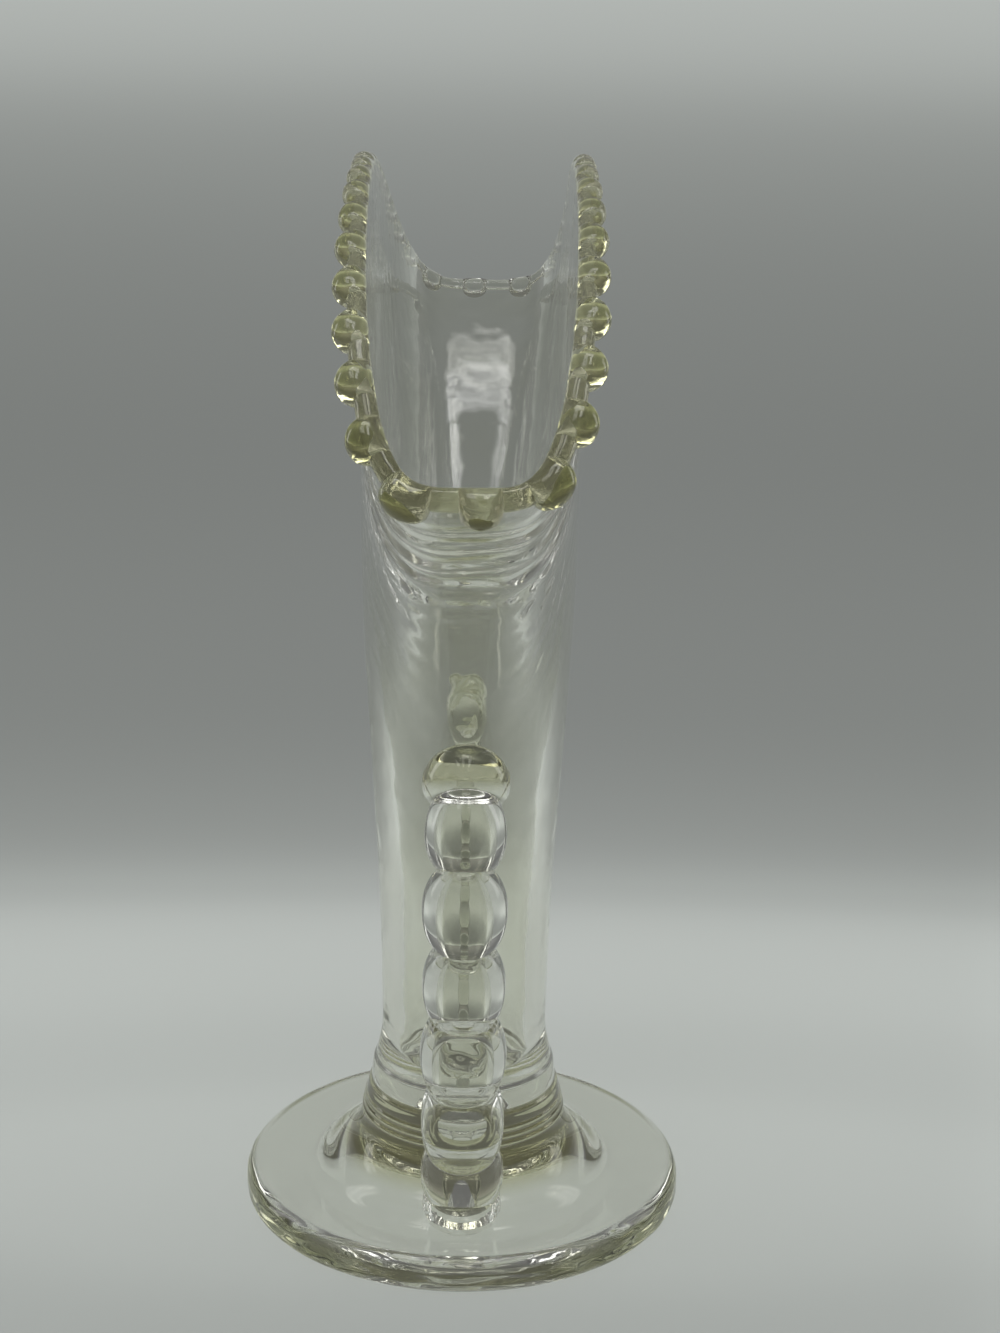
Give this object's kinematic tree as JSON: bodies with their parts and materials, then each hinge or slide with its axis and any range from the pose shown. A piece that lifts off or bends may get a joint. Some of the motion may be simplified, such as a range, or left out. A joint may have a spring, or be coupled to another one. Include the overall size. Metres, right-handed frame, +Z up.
{
  "type": "fan vase",
  "caption": "Fan-shaped pressed glass vase with a beaded rim, two beaded ear handles, a ringed collar and a round foot.",
  "frame": {"origin": "centre of the foot's flat underside", "axes": "+Z up along the vase's axis; the fan spreads along Y with a handle at -Y and one at +Y; X crosses the thin way"},
  "size_m": [0.09, 0.181, 0.2156],
  "materials": {
    "clear_glass": "polished clear pressed glass with a faint grey-green tint and soft flow ripples",
    "foot_glass": "polished clear pressed glass, olive where the thick edge is seen",
    "rim_glass": "polished pressed glass beads, olive where they are thick"
  },
  "bodies": {
    "root": {"foot": "foot_glass", "collar": "clear_glass", "body": "clear_glass", "far_handle_bead_1": "clear_glass", "far_handle_bead_2": "clear_glass", "far_handle_bead_3": "clear_glass", "far_handle_bead_4": "clear_glass", "far_handle_bead_5": "clear_glass", "far_handle_bead_6": "clear_glass", "far_handle_bead_7": "clear_glass", "far_handle_bead_8": "clear_glass", "near_handle_bead_1": "clear_glass", "near_handle_bead_2": "clear_glass", "near_handle_bead_3": "clear_glass", "near_handle_bead_4": "clear_glass", "near_handle_bead_5": "clear_glass", "near_handle_bead_6": "clear_glass", "near_handle_bead_7": "clear_glass", "near_handle_bead_8": "clear_glass", "rim_bead_01": "rim_glass", "rim_bead_02": "rim_glass", "rim_bead_03": "rim_glass", "rim_bead_04": "rim_glass", "rim_bead_05": "rim_glass", "rim_bead_06": "rim_glass", "rim_bead_07": "rim_glass", "rim_bead_08": "rim_glass", "rim_bead_09": "rim_glass", "rim_bead_10": "rim_glass", "rim_bead_11": "rim_glass", "rim_bead_12": "rim_glass", "rim_bead_13": "rim_glass", "rim_bead_14": "rim_glass", "rim_bead_15": "rim_glass", "rim_bead_16": "rim_glass", "rim_bead_17": "rim_glass", "rim_bead_18": "rim_glass", "rim_bead_19": "rim_glass", "rim_bead_20": "rim_glass", "rim_bead_21": "rim_glass", "rim_bead_22": "rim_glass", "rim_bead_23": "rim_glass", "rim_bead_24": "rim_glass", "rim_bead_25": "rim_glass", "rim_bead_26": "rim_glass", "rim_bead_27": "rim_glass", "rim_bead_28": "rim_glass", "rim_bead_29": "rim_glass", "rim_bead_30": "rim_glass", "rim_bead_31": "rim_glass", "rim_bead_32": "rim_glass", "rim_bead_33": "rim_glass", "rim_bead_34": "rim_glass", "rim_bead_35": "rim_glass", "rim_bead_36": "rim_glass", "rim_bead_37": "rim_glass", "rim_bead_38": "rim_glass", "rim_bead_39": "rim_glass", "rim_bead_40": "rim_glass"}
  },
  "joints": []
}
